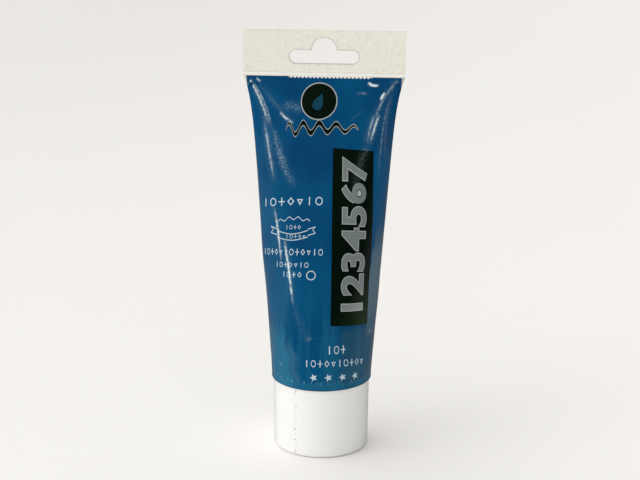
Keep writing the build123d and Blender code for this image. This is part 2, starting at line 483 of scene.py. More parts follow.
def mark_creases(piece, form, around, up):
    """Keeps how whitened, with painted sparkle, and how shining a piece is at each of its points."""
    _, frost, shine = form.pushed(around, up)
    keep_mark(piece, "crease", frost)
    keep_mark(piece, "shine", shine)


def make_film(film, material):
    """The film from its lower lip up to the seal, with both faces of its wall."""
    form = FilmForm(film)
    heights = np.linspace(form.skirt, form.seal, FILM_ROWS + 1)
    inner = form.radius - form.wall
    lip = film.lip / MM
    rounding = [
        (form.radius - lip + lip * math.cos(turn), form.foot + lip - lip * math.sin(turn))
        for turn in np.linspace(math.pi / 2, 0, 6)
    ]
    band = [(form.radius, height) for height in np.linspace(form.foot + lip, form.skirt, 5)[1:-1]]
    outside = [(form.radius, height) for height in heights]
    inside = [(inner, height) for height in heights[::-15]]
    outline = rounding + band + outside + inside + [(inner, form.foot)]
    shape = spun(outline, FILM_COLUMNS, closed=True)
    up = coordinates(shape)[:, 2]
    around = press(shape, form)
    piece = new_piece("tube_film", shape, material, "tube")
    mark_creases(piece, form, around, up)
    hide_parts("sleeve")
    return piece


def make_paint(film, material):
    """The paint inside: a plug in the head and the filling of the film."""
    form = FilmForm(film)
    low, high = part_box("paint")
    head_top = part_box("head")[1].z / MM
    foot = low.z / MM
    orifice, bore, widest = 2.2, 4.1, 15.3
    orifice_top, bore_top = foot + 2.2, 18.6
    film_gap, head_gap = 0.9, 0.6
    plug = [(0, foot), (orifice, foot), (orifice, orifice_top), (bore, orifice_top)]
    shoulder = [(bore, bore_top), (widest, head_top - head_gap), (widest, form.skirt + head_gap)]
    heights = np.linspace(form.skirt + head_gap, high.z / MM, 60)
    filling = [(form.radius - film_gap, height) for height in heights]
    shape = spun(plug + shoulder + filling, 96, closed=False)
    press(shape, form)
    bmesh.ops.holes_fill(shape, edges=[edge for edge in shape.edges if edge.is_boundary])
    bmesh.ops.recalc_face_normals(shape, faces=shape.faces[:])
    piece = new_piece("paint_filling", shape, material, "tube")
    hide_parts("paint")
    return piece


def flat_slab(width, low, high, columns, rows):
    """A flat slab's front and back faces in millimetres, joined round the rim, with no thickness yet."""
    shape = bmesh.new()
    bmesh.ops.create_grid(shape, x_segments=columns, y_segments=rows, size=0.5)
    scale = Matrix.Diagonal((width, high - low, 1, 1))
    upright = Matrix.Rotation(math.pi / 2, 4, "X")
    lift = Matrix.Translation((0, 0, (low + high) / 2))
    bmesh.ops.transform(shape, matrix=lift @ upright @ scale, verts=shape.verts[:])
    front = shape.verts[:]
    return shape, front, doubled(shape)


def hang_slot(tail, seal):
    """The cutter for the hang slot and its peg notch."""
    half_height = tail.slot_height / 2 / MM
    half_run = tail.slot_width / 2 / MM - half_height
    middle = seal + tail.slot_rise / MM + half_height
    notch = tail.notch / MM
    reach = 3  # how far the cutter stands out on either side
    arcs = [
        (-half_run, middle, half_height, 90, 270),
        (half_run, middle, half_height, -90, 90),
        (0, middle + half_height, notch, 0, 180),
    ]
    shape = bmesh.new()
    verts = []
    for across, up, radius, begin, end in arcs:
        for turn in np.radians(np.linspace(begin, end, 25)):
            place = (across + radius * math.cos(turn), -reach, up + radius * math.sin(turn))
            verts.append(shape.verts.new(place))
    shape.faces.new(verts)
    bmesh.ops.translate(shape, verts=doubled(shape), vec=(0, 2 * reach, 0))
    to_metres(shape)
    return new_object("slot_cutter", new_mesh("slot_cutter", shape))


def cut_away(piece, cutter):
    """Cuts the cutter out of the piece and removes the cutter."""
    cut = piece.modifiers.new("cut", "BOOLEAN")
    cut.operation = "DIFFERENCE"
    cut.solver = "EXACT"
    cut.object = cutter
    ready = piece.evaluated_get(bpy.context.evaluated_depsgraph_get())
    mesh = bpy.data.meshes.new_from_object(ready)
    mesh.name = piece.name
    piece.modifiers.clear()
    piece.data = mesh
    bpy.data.objects.remove(cutter)


def mark_rim(piece, outline):
    """Keeps how close each point of the tail is to the slot's outline, for the painted shade along the
    slot's cut edge.
    """
    places = np.array([vert.co for vert in piece.data.vertices])[:, [0, 2]]
    nearest = np.full(len(places), np.inf)
    for begin, end in zip(outline, np.roll(outline, -1, axis=0)):
        step = end - begin
        share = np.clip((places - begin) @ step / max(step @ step, 1e-12), 0, 1)
        nearest = np.minimum(nearest, np.linalg.norm(places - begin - share[:, None] * step, axis=1))
    keep_mark(piece, "rim", np.exp(-((nearest / (0.3 * MM)) ** 2)))


def make_tail(film, tail, material):
    """The flat sealed tail with embossed pockets, a plain band at the seal and the hang slot."""
    form = FilmForm(film)
    top = form.seal + film.tail / MM
    overlap = 0.35
    step = tail.pocket / MM / 5
    width = 2 * form.flat
    low = form.seal - overlap
    shape, front, back = flat_slab(width, low, top, round(width / step), round((top - low) / step))
    pitch, depth = tail.pocket / MM, tail.depth / MM
    band = form.seal + tail.plain / MM
    for verts, side in ((front, -1), (back, 1)):
        for vert in verts:
            across, up = vert.co.x, vert.co.z
            cell = abs(math.sin(math.pi * across / pitch) * math.sin(math.pi * (up - band) / pitch))
            pocket = depth * cell**0.5 if up > band else 0
            bead = 0.06 if form.seal < up < band - 0.4 else 0
            rise = max(0, (up - form.seal) / (top - form.seal))
            bow = rise**2 * (0.35 * math.sin(across / 13 + 0.7) - 0.15)
            vert.co.y = side * (form.wall + bead - pocket) + bow
    to_metres(shape)
    piece = new_piece("tube_tail", shape, material, "tube")
    cutter = hang_slot(tail, form.seal)
    outline = np.array([vert.co for vert in cutter.data.vertices if vert.co.y < 0])[:, [0, 2]]
    cut_away(piece, cutter)
    mark_rim(piece, outline)
    piece.data.set_sharp_from_angle(angle=math.radians(50))
    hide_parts("sleeve")
    return piece


# The printing, drawn flat in millimetres: X goes round the film from the front's middle and Y goes up


def arched(begin, rise, waves=0.0):
    """The height of an arch, with small waves where they are asked for, at a share along it."""
    return lambda share: (
        begin + rise * math.sin(math.pi * share) + waves * math.sin(7 * math.pi * share)
    )


def sloping(begin, gain):
    """The height of a straight line at a share along it."""
    return lambda share: begin + gain * share


NUMERALS = (1, 2, 3, 4, 5, 6, 7)
NUMERAL_HEIGHT = 0.73  # a numeral's height in the font at a size of 1
NUMERAL_FOOT = 15.7
NUMERAL_RISE = 8.2
DISC_ACROSS = -1.45
STROKE_LEFT = -13.5
STROKE_RIGHT = 13.2
LEAN = 0.91  # the height that a length up the film gains at the emblem, where the film leans
BOW = 0.0042  # how far a level line drops, per square of its distance from the middle
BOW_MIDDLE = 2.0
STARS = 4
STAR_PITCH = 5.05
# left, right, lower and upper edge of each border, and its number of marks
SMALL_ROWS = [
    (-22.8, 1.2, 88.9, 91.7, 7),
    (-23.0, 1.4, 72.2, 74.4, 12),
    (-16.4, -3.4, 68.1, 69.9, 7),
    (-13.5, -5.6, 64.7, 66.7, 4),
    (-12.6, -6.6, 80.9, 82.4, 4),
    (-12.4, -4.8, 77.9, 79.2, 5),
    (2.6, 10.0, 38.3, 41.2, 3),
    (-4.9, 17.8, 33.7, 36.2, 10),
]
# both ends and the height of each line of the ribbon
RIBBON = [
    (-15.6, -4.2, arched(80.6, -1.2)),
    (-15.6, -4.2, arched(78.4, -1.1)),
    (-15.4, -3.6, arched(83.6, 1.1, 0.5)),
    (-18.5, -15.6, sloping(82.0, -0.8)),
    (-18.5, -15.6, sloping(79.9, -0.8)),
    (-18.5, -17.4, sloping(79.9, 1.05)),
    (-18.5, -17.4, sloping(82.0, -1.05)),
    (-4.2, -1.5, sloping(81.0, 0.8)),
    (-4.2, -1.5, sloping(78.9, 0.8)),
    (-2.6, -1.5, sloping(80.75, -1.05)),
    (-2.6, -1.5, sloping(80.75, 1.05)),
]


def rectangle(shape, left, low, right, high):
    """A plain rectangle."""
    size = Matrix.Diagonal((right - left, high - low, 1, 1))
    place = Matrix.Translation(((left + right) / 2, (low + high) / 2, 0))
    bmesh.ops.create_grid(shape, x_segments=1, y_segments=1, size=0.5, matrix=place @ size)


def disc(shape, across, up, radius, sides=64):
    """A filled disc."""
    place = Matrix.Translation((across, up, 0))
    bmesh.ops.create_circle(shape, cap_ends=True, segments=sides, radius=radius, matrix=place)


def ring(shape, across, up, radius, width, sides=48):
    """A ring, measured to its outer edge."""
    part = bmesh.new()
    disc(part, across, up, radius, sides)
    rim = bmesh.ops.inset_region(
        part, faces=part.faces[:], thickness=width, use_boundary=True, use_even_offset=True
    )["faces"]
    bmesh.ops.delete(part, geom=[face for face in part.faces if face not in rim], context="FACES")
    add_drawing(shape, part)


def star(shape, across, up, radius):
    """A plain five-pointed star."""
    place = Matrix.Translation((across, up, 0)) @ Matrix.Rotation(math.pi / 10, 4, "Z")
    made = bmesh.ops.create_circle(shape, cap_ends=True, segments=10, radius=radius)["verts"]
    for index, vert in enumerate(made):
        vert.co *= 1 if index % 2 == 0 else 0.42
    bmesh.ops.transform(shape, matrix=place, verts=made)


def band(shape, begin, end, middle, half, pieces=70):
    """A band whose middle line and half thickness are functions of the share along it."""
    made = bmesh.ops.create_grid(shape, x_segments=pieces, y_segments=1, size=0.5)["verts"]
    for vert in made:
        share, side = vert.co.x + 0.5, 1 if vert.co.y > 0 else -1
        vert.co = (begin + share * (end - begin), middle(share) + side * half(share), 0)


def add_drawing(shape, part):
    """Adds one drawing to another."""
    mesh = new_mesh("drawing", part)
    shape.from_mesh(mesh)
    bpy.data.meshes.remove(mesh)


def numeral(shape, digit, baseline, up, height, stretch, swell):
    """A numeral that reads upwards, its foot on a baseline to the right, centred on a height."""
    curve = bpy.data.curves.new("numeral", "FONT")
    curve.body = str(digit)
    curve.offset = swell
    holder = new_object("numeral", curve)
    ready = holder.evaluated_get(bpy.context.evaluated_depsgraph_get())
    mesh = bpy.data.meshes.new_from_object(ready)
    part = bmesh.new()
    part.from_mesh(mesh)
    bpy.data.objects.remove(holder)
    bpy.data.meshes.remove(mesh)
    drawn = coordinates(part)
    middle = (drawn[:, 0].min() + drawn[:, 0].max()) / 2
    scale = height / NUMERAL_HEIGHT
    for vert in part.verts:
        right, rise = (vert.co.x - middle) * scale * stretch, vert.co.y * scale
        vert.co = (baseline - rise, up + right, 0)
    bmesh.ops.dissolve_limit(part, angle_limit=0.001, verts=part.verts[:], edges=part.edges[:])
    add_drawing(shape, part)


def marks(shape, left, right, low, high, count):
    """A border of plain outlined marks: a bar, a ring, a cross, a diamond and a triangle in turn."""
    pitch = (right - left) / count
    middle, half = (low + high) / 2, (high - low) / 2
    stroke = 0.26 * half
    for index in range(count):
        across = left + (index + 0.5) * pitch
        kind = index % 5
        if kind in (0, 2):
            rectangle(shape, across - stroke / 2, low, across + stroke / 2, high)
        if kind == 2:
            arms = ((-0.34 * pitch, -stroke / 2), (stroke / 2, 0.34 * pitch))
            for begin, end in arms:
                rectangle(shape, across + begin, middle - stroke / 2, across + end, middle + stroke / 2)
        if kind in (1, 3, 4):
            sides = {1: 28, 3: 4, 4: 3}[kind]
            part = bmesh.new()
            ring(part, 0, 0, half, stroke, sides)
            if kind == 4:
                bmesh.ops.rotate(part, verts=part.verts[:], matrix=Matrix.Rotation(math.pi, 3, "Z"))
            narrow = min(1, 0.38 * pitch / half)
            bmesh.ops.scale(part, verts=part.verts[:], vec=(narrow, 1, 1))
            bmesh.ops.translate(part, verts=part.verts[:], vec=(across, middle, 0))
            add_drawing(shape, part)


def drop(shape, across, up, size):
    """A plain drop of paint."""
    made = bmesh.ops.create_circle(shape, cap_ends=True, segments=48, radius=size)["verts"]
    for vert in made:
        rise = max(0, (vert.co.y / size + 1) / 2)
        vert.co.x *= 1 - rise**1.5
        vert.co.y *= 1.35
    turn = Matrix.Rotation(math.radians(-24), 4, "Z")
    bmesh.ops.transform(shape, matrix=Matrix.Translation((across, up, 0)) @ turn, verts=made)


def lay_ink(name, shape, form, layer, ink, material):
    """Cuts a drawing along the film's grid, thickens it and lays it on the film as one layer."""
    bow(shape)
    drawn = coordinates(shape)
    column = 2 * math.pi * form.radius / FILM_COLUMNS
    row = (form.seal - form.skirt) / FILM_ROWS
    cuts = [
        (Vector((1, 0, 0)), 0, column, drawn[:, 0].min(), drawn[:, 0].max()),
        (Vector((0, 1, 0)), form.skirt, row, drawn[:, 1].min(), drawn[:, 1].max()),
    ]
    for normal, begin, step, low, high in cuts:
        for index in range(math.ceil((low - begin) / step), math.floor((high - begin) / step) + 1):
            geometry = shape.verts[:] + shape.edges[:] + shape.faces[:]
            bmesh.ops.bisect_plane(
                shape, geom=geometry, plane_co=normal * (begin + index * step), plane_no=normal, dist=1e-5
            )
    bottom = shape.verts[:]
    for verts, lift in ((bottom, -ink), (doubled(shape), layer * ink)):
        for vert in verts:
            vert.co.z = lift
    bmesh.ops.recalc_face_normals(shape, faces=shape.faces[:])
    around, up = wrap(shape, form)
    piece = new_piece(name, shape, material, "tube")
    piece.data.set_sharp_from_angle(angle=math.radians(50))
    mark_creases(piece, form, around, up)


def lean(shape, art):
    """Flattens the emblem's drawing, because a length up the leaning film gains less height."""
    middle = art.disc_height / MM
    for vert in shape.verts:
        vert.co.y = middle + (vert.co.y - middle) * LEAN


def bow(shape):
    """Bows a flat drawing down at its sides, as the film's level lines do when it is pressed flat."""
    for vert in shape.verts:
        vert.co.y -= BOW * (vert.co.x - BOW_MIDDLE) ** 2


def draw_dark(art):
    """The dark bar, the disc and the brush stroke."""
    shape = bmesh.new()
    bar = (art.bar_left / MM, art.bar_low / MM, art.bar_right / MM, art.bar_high / MM)
    disc(shape, DISC_ACROSS, art.disc_height / MM, art.disc / MM)
    lean(shape, art)
    rectangle(shape, *bar)
    band(shape, STROKE_LEFT, STROKE_RIGHT, stroke_middle, stroke_half)
    return shape


def draw_outlines(art):
    """The disc's ring, the stroke's rim and the wider numerals behind the grey ones."""
    shape = bmesh.new()
    ring(shape, DISC_ACROSS, art.disc_height / MM, art.disc / MM + 0.35, 0.36, sides=72)
    lean(shape, art)
    for side in (-1, 1):
        band(
            shape, STROKE_LEFT, STROKE_RIGHT,
            lambda share: stroke_middle(share) + side * (stroke_half(share) + 0.05),
            lambda share: 0.13,
        )
    draw_numerals(shape, art, 0.045)
    return shape


def draw_numerals(shape, art, swell):
    """The large numerals up the bar."""
    low, high = art.bar_low / MM + 2.4, art.bar_high / MM - 2.8
    pitch = (high - low) / len(NUMERALS)
    for index, digit in enumerate(NUMERALS):
        numeral(shape, digit, NUMERAL_FOOT, low + (index + 0.5) * pitch, NUMERAL_RISE, 1.3, swell)


def draw_small_print():
    """Borders of plain marks, a ribbon and a row of stars."""
    shape = bmesh.new()
    for left, right, low, high, count in SMALL_ROWS:
        marks(shape, left, right, low, high, count)
    ring(shape, -2.7, 65.5, 1.6, 0.3)
    for index in range(STARS):
        star(shape, -1.4 + STAR_PITCH * index, 29.95, 1.45)
    for begin, end, middle in RIBBON:
        band(shape, begin, end, middle, lambda share: 0.14, 40)
    return shape


def stroke_middle(share):
    """The brush stroke's middle line."""
    return 114.2 + 2.0 * (1 - 0.5 * share) * math.sin(9 * math.pi * share**0.9)


def stroke_half(share):
    """Half the brush stroke's thickness."""
    return 0.15 + 0.75 * math.sin(math.pi * share**0.75) ** 0.6


# Shaders


class Wire:
    """A socket that takes part in sums."""

    def __init__(self, recipe, socket):
        self.recipe = recipe
        self.socket = socket

    def maths(self, operation, *values):
        """Adds a Math node."""
        return self.recipe.node("ShaderNodeMath", {"operation": operation}, dict(enumerate(values)))

    def __add__(self, other):
        return self.maths("ADD", self, other)

    def __radd__(self, other):
        return self.maths("ADD", other, self)

    def __sub__(self, other):
        return self.maths("SUBTRACT", self, other)

    def __rsub__(self, other):
        return self.maths("SUBTRACT", other, self)

    def __mul__(self, other):
        return self.maths("MULTIPLY", self, other)

    def __rmul__(self, other):
        return self.maths("MULTIPLY", other, self)

    def __pow__(self, other):
        return self.maths("POWER", self, other)

    def __abs__(self):
        return self.maths("ABSOLUTE", self)

    def or_more(self, other):
        """The larger of two values."""
        return self.maths("MAXIMUM", self, other)

    def sine(self):
        """The sine of an angle in radians."""
        return self.maths("SINE", self)


class Recipe:
    """The nodes of a material or a world."""

    def __init__(self, owner):
        owner.use_nodes = True
        self.owner = owner
        self.tree = owner.node_tree
        self.tree.nodes.clear()

    def node(self, kind, settings=None, sockets=None, output=0):
        """Adds a node, sets it up, feeds its sockets and gives one of its outputs."""
        made = self.tree.nodes.new(kind)
        for name, value in (settings or {}).items():
            setattr(made, name, value)
        for key, value in (sockets or {}).items():
            socket = made.inputs[key] if isinstance(key, int) else self.named(made.inputs, key)
            if isinstance(value, Wire):
                self.tree.links.new(value.socket, socket)
            elif socket.type == "RGBA":
                socket.default_value = (*value, 1)
            else:
                socket.default_value = value
        found = made.outputs[output] if isinstance(output, int) else self.named(made.outputs, output)
        return Wire(self, found)

    @staticmethod
    def named(sockets, name):
        """The socket with an identifier or a name."""
        for socket in sockets:
            if socket.identifier == name:
                return socket
        return sockets[name]

    def place(self, scale=(1, 1, 1)):
        """The object's own coordinates in millimetres, scaled."""
        spot = self.node("ShaderNodeTexCoord", output="Object")
        factors = tuple(share / MM for share in scale)
        return self.node("ShaderNodeVectorMath", {"operation": "MULTIPLY"}, {0: spot, 1: factors})

    def axes(self, vector):
        """A vector's three numbers."""
        return [self.node("ShaderNodeSeparateXYZ", None, {0: vector}, axis) for axis in "XYZ"]

    def noise(self, vector, size, detail=2.0, roughness=0.5):
        """Noise from 0 to 1 with clouds of a size."""
        sockets = {"Vector": vector, "Scale": 1 / size, "Detail": detail, "Roughness": roughness}
        return self.node("ShaderNodeTexNoise", None, sockets)

    def rise(self, value, low, high):
        """0 below low, 1 above high and smooth between."""
        sockets = {"Value": value, "From Min": low, "From Max": high}
        return self.node("ShaderNodeMapRange", {"interpolation_type": "SMOOTHSTEP"}, sockets)

    def between(self, value, low, high, edge):
        """1 between two values, with soft edges."""
        return self.rise(value, low - edge, low + edge) * (1 - self.rise(value, high - edge, high + edge))

    def blend(self, share, first, second):
        """A colour between two others."""
        sockets = {"Factor_Float": share, "A_Color": first, "B_Color": second}
        return self.node("ShaderNodeMix", {"data_type": "RGBA"}, sockets, "Result_Color")

    def bump(self, height):
        """A normal from a height in millimetres."""
        return self.node("ShaderNodeBump", None, {"Height": height, "Distance": MM, "Strength": 1.0})

    def mark(self, name):
        """A value that was kept at each point of the mesh."""
        return self.node("ShaderNodeAttribute", {"attribute_name": name}, None, "Fac")

    def finish(self, shader, end="ShaderNodeOutputMaterial"):
        """Ends the recipe with a shader."""
        self.tree.links.new(shader.socket, self.tree.nodes.new(end).inputs["Surface"])
        return self.owner


def new_recipe(name):
    """A recipe for a new material."""
    return Recipe(bpy.data.materials.new(name))


def dimmed(colour, share):
    """A share of a colour."""
    return tuple(share * part for part in colour)


def plastic(recipe, colour, roughness, height, constants=None):
    """A plastic or metal finish: what varies over it, and the constants of its shader."""
    sockets = {"Base Color": colour, "Roughness": roughness, "Normal": recipe.bump(height)}
    sockets.update(constants or {})
    return recipe.finish(recipe.node("ShaderNodeBsdfPrincipled", None, sockets))


def film_relief(recipe):
    """The film's fine waviness in millimetres."""
    return 0.03 * recipe.noise(recipe.place(), 3.5) + 0.004 * recipe.noise(recipe.place(), 0.4)


FILM_GLOSS = {"Specular IOR Level": 0.5, "Coat Weight": 0.25, "Coat Roughness": 0.06}
GLINT = (0.66, 0.78, 0.8)  # light on the ridge of a crease


def show_creases(recipe, colour, whitening, strength=1.0):
    """Whitens a colour in flecks beside the creases, with painted sparkle of reflected light, and paints
    highlights along their shining ridges.
    """
    spot = recipe.place()
    shine = recipe.mark("shine") ** RIDGE_POWER
    # Flecks beside the creases: whitened film with painted sparkle of reflected light.
    whitened = recipe.mark("crease") * recipe.rise(recipe.noise(spot, 0.42, 3, 0.7), 0.44, 0.68)
    broken = 0.25 + 0.75 * recipe.rise(recipe.noise(spot, 0.9, 2, 0.6), 0.36, 0.58)
    colour = recipe.blend(0.55 * strength * whitened, colour, whitening)
    # Painted highlight along the shining ridges of the creases.
    colour = recipe.blend(strength * shine * broken, colour, GLINT)
    return colour, whitened


def paint_colour(recipe, film, form):
    """The paint behind the film, with slow clouds, and with upright streaks near the foot."""
    spot = recipe.place()
    _, _, z = recipe.axes(spot)
    cloud = recipe.rise(recipe.noise(spot, 22), 0.35, 0.65)
    colour = recipe.blend(cloud, film.paint, film.shade)
    streaks = recipe.rise(recipe.noise(recipe.place((1, 1, 0.06)), 3, 3), 0.45, 0.7)
    near_foot = 1 - recipe.rise(z, form.skirt + 8, form.skirt + 45)
    return recipe.blend(0.3 * near_foot * streaks, colour, film.weld)


def add_reflections(recipe, film, form, colour):
    """The broad pale reflections on the left and the right of the front."""
    x, y, z = recipe.axes(recipe.place())
    front = 1 - recipe.rise(y, -3, 0)
    fold = x + 0.16 * (z - 28) + 0.6 * ((z - 30) * 0.75).sine()
    raised = recipe.rise(z, 40, 50)
    # Painted pale reflection low on the left, in the weld colour.
    left = (1 - recipe.rise(fold, -9.6, -8.8)) * (1 - raised)
    left = left + 0.3 * (1 - recipe.rise(x, -16, -5)) * raised * (1 - recipe.rise(z, 60, 120))
    colour = recipe.blend(0.6 * left * front, colour, film.weld)
    beside_fold = recipe.between(fold, -8.9, -6.4, 1.2) * recipe.between(z, 27, 41, 3) * front
    colour = recipe.blend(0.3 * beside_fold, colour, film.fold_light)
    low_right = recipe.rise(x, 6.5, 9) * recipe.between(z, form.skirt, 46, 1.5) * front
    colour = recipe.blend(0.45 * low_right, colour, film.foot_light)
    bound = x - 0.16 * (z - 60) * recipe.rise(z, 59, 61) + 0.2 * (z * 0.9).sine()
    side = recipe.rise(bound, 15.6, 16) * recipe.between(z, 46, 76, 8) * (1 - recipe.rise(y, -4, 9))
    return recipe.blend(0.7 * side, colour, film.side_light)


def add_weld(recipe, film, form, colour):
    """The welded band, painted glints in short streaks over it, the fine dark line in it and painted shade
    on the lip under it.
    """
    spot = recipe.place()
    _, _, z = recipe.axes(spot)
    wobble = 0.7 * recipe.noise(spot, 2.2)
    weld = 1 - recipe.rise(z - wobble, form.skirt - 0.35, form.skirt + 0.1)
    colour = recipe.blend(0.4 * weld, colour, film.weld)
    # Painted glints: bright short streaks along the top of the weld, in the creases' whitening colour.
    glint_dashes = recipe.rise(recipe.noise(recipe.place((1, 1, 0.15)), 0.55, 1), 0.58, 0.68)
    glint_dashes = glint_dashes * recipe.between(z - wobble, form.skirt - 0.3, form.skirt + 0.9, 0.25)
    colour = recipe.blend(0.45 * glint_dashes, colour, film.frost)
    # Painted shade on the film's rounded lower lip; the fine dark line uses the same colour.
    lip = 1 - recipe.rise(z, form.foot + 0.35, form.foot + 0.6)
    line = recipe.between(z, form.foot + 1.45, form.foot + 1.6, 0.1)
    return recipe.blend(0.8 * lip + 0.6 * line, colour, film.shade)


def add_seal(recipe, film, form, colour):
    """The scalloped pale edge under the seal and the pale corners that hold no paint."""
    x, _, z = recipe.axes(recipe.place())
    scallop = 0.35 + 0.55 * abs((x * (math.pi / 1.3)).sine())
    edge = recipe.rise(z + scallop, form.seal - 0.05, form.seal + 0.05)
    edge = edge * recipe.between(x, -12, 16, 0.3)
    colour = recipe.blend(edge, colour, film.seal_edge)
    flare = film.flare / (form.seal - form.skirt)
    filled = form.radius * (1 + flare * (z - form.skirt)) + 1.15
    corner = recipe.rise(abs(x) - filled, -0.1, 0.3)
    return recipe.blend(corner, colour, film.corner)


def film_material(film):
    """Clear glossy film with paint behind it and painted reflections, whitened with painted sparkle and
    highlights along its creases, and welded at its foot.
    """
    recipe = new_recipe("printed_film")
    form = FilmForm(film)
    colour = paint_colour(recipe, film, form)
    colour = add_reflections(recipe, film, form, colour)
    colour, whitened = show_creases(recipe, colour, film.frost)
    colour = add_weld(recipe, film, form, colour)
    colour = add_seal(recipe, film, form, colour)
    roughness = 0.1 + 0.06 * recipe.noise(recipe.place(), 9) + 0.35 * whitened
    height = film_relief(recipe) + 0.03 * whitened
    return plastic(recipe, colour, roughness, height, FILM_GLOSS)


def ink_material(name, first, second, art, worn):
    """Ink on the film, thinner and greener towards the foot of the bar where light is painted on it, with
    pinholes where it is worn.
    """
    recipe = new_recipe(name)
    spot = recipe.place()
    x, _, z = recipe.axes(spot)
    bar_low, bar_right = art.bar_low / MM, art.bar_right / MM
    # Painted light: the ink turns to its second, lit colour towards the foot of the bar, where it is also
    # thinner.
    thin = 1 - recipe.rise(z - 1.6 * (x - bar_right), bar_low + 2, bar_low + 26)
    colour = recipe.blend(0.9 * thin, first, second)
    grain = recipe.rise(recipe.noise(spot, 0.35, 2, 0.6), 0.62, 0.75)
    colour = recipe.blend(worn * grain, colour, second)
    # Flecks of whitened ink with painted sparkle, and painted highlights along the creases.
    colour, _ = show_creases(recipe, colour, art.creased, 0.6)
    roughness = 0.14 + 0.1 * recipe.noise(spot, 1.2)
    return plastic(recipe, colour, roughness, film_relief(recipe), FILM_GLOSS)


def paint_material(film):
    """Wet paint."""
    recipe = new_recipe("wet_paint")
    spot = recipe.place()
    colour = recipe.blend(recipe.noise(spot, 5), film.paint, film.shade)
    roughness = 0.12 + 0.15 * recipe.noise(spot, 2)
    return plastic(recipe, colour, roughness, 0.15 * recipe.noise(spot, 4, 3))


def tail_material(film, tail):
    """Off-white sealed film, mottled darker at random and whiter along the plain band at the seal."""
    recipe = new_recipe("sealed_film")
    spot = recipe.place()
    _, _, z = recipe.axes(spot)
    darker = dimmed(tail.film, 0.86)
    colour = recipe.blend(recipe.rise(recipe.noise(spot, 0.7, 2), 0.5, 0.75), tail.film, darker)
    seal = FilmForm(film).seal
    band = seal + tail.plain / MM
    plain = recipe.between(z, seal + 0.1, band - 0.3, 0.15)
    colour = recipe.blend(0.6 * plain, colour, tail.bright)
    seam = recipe.between(z, band - 0.25, band - 0.05, 0.12)
    colour = recipe.blend(0.35 * seam, colour, tail.seam)
    # Painted shade along the slot's cut edge.
    colour = recipe.blend(0.55 * recipe.mark("rim"), colour, tail.rim)
    roughness = 0.22 + 0.2 * recipe.noise(spot, 1.5)
    return plastic(recipe, colour, roughness, 0.02 * recipe.noise(spot, 0.6), {"Coat Weight": 0.15})


def cap_material(cap):
    """Glossy white plastic with scuffs, specks and a worn foot."""
    recipe = new_recipe("white_plastic")
    spot = recipe.place()
    x, y, z = recipe.axes(spot)
    front = 1 - recipe.rise(y, -2, 0)
    dulled = dimmed(cap.plastic, 0.97)
    colour = recipe.blend(recipe.noise(spot, 9), cap.plastic, dulled)
    dots = recipe.rise(recipe.noise(spot, 0.55, 1), 0.6, 0.66)
    line = recipe.between(x + 0.6 * recipe.noise(recipe.place((0, 0, 1)), 3), -7.9, -7.2, 0.2) * front
    foot = recipe.between(z, -1, 3.2, 1.2)
    few = recipe.rise(recipe.noise(spot, 0.7, 1), 0.74, 0.8)
    rubbed = recipe.rise(recipe.noise(recipe.place((1, 1, 3)), 1.1, 3), 0.62, 0.72) * foot
    dirt = (dots * line).or_more(0.5 * few)
    colour = recipe.blend(0.85 * dirt, colour, cap.scuff)
    colour = recipe.blend(0.25 * rubbed, colour, cap.scuff)
    roughness = 0.3 + 0.03 * recipe.noise(spot, 9) + 0.2 * rubbed
    rings = 0.002 * (z * (2 * math.pi / 1.1)).sine() - 0.05 * recipe.between(z, 22.2, 22.5, 0.15)
    height = rings - 0.03 * dirt
    return plastic(recipe, colour, roughness, height, {"Coat Weight": 0.2, "Coat Roughness": 0.1})


def head_material(cap):
    """Natural milky plastic with faint turning marks."""
    recipe = new_recipe("natural_plastic")
    spot = recipe.place()
    _, _, z = recipe.axes(spot)
    milky = dimmed(cap.natural, 0.9)
    colour = recipe.blend(recipe.noise(spot, 3), cap.natural, milky)
    height = 0.01 * recipe.noise(spot, 1.5) + 0.003 * (z * 9).sine()
    return plastic(recipe, colour, 0.28 + 0.1 * recipe.noise(spot, 2), height, {"Coat Weight": 0.1})


def foam_material(cap):
    """Fine closed-cell foam."""
    recipe = new_recipe("white_foam")
    spot = recipe.place()
    cells = recipe.node(
        "ShaderNodeTexVoronoi", {"feature": "F1"}, {"Vector": spot, "Scale": 4.0}, "Distance"
    )
    pressed = dimmed(cap.foam, 0.82)
    colour = recipe.blend(recipe.rise(cells, 0.2, 0.8), cap.foam, pressed)
    return plastic(recipe, colour, 0.6 + 0.25 * cells, 0.06 * cells)


def foil_material(cap):
    """Bright foil with press marks."""
    recipe = new_recipe("bright_foil")
    spot = recipe.place()
    dull = dimmed(cap.foil, 0.85)
    colour = recipe.blend(recipe.noise(spot, 2), cap.foil, dull)
    height = 0.04 * recipe.noise(spot, 1.3, 3)
    return plastic(recipe, colour, 0.22 + 0.15 * recipe.noise(spot, 0.8), height, {"Metallic": 1.0})


# Studio


def floor_material(studio):
    """Pale matte floor, painted darker towards the left as shade, with faint marks."""
    recipe = new_recipe("pale_floor")
    spot = recipe.place()
    x, _, _ = recipe.axes(spot)
    painted_shade_left = dimmed(studio.floor, 0.92)
    # Painted shade: the floor darkens towards the left.
    colour = recipe.blend(recipe.rise(x, -450, 450), painted_shade_left, studio.floor)
    return plastic(recipe, colour, 0.7 + 0.1 * recipe.noise(spot, 30), 0.05 * recipe.noise(spot, 8))


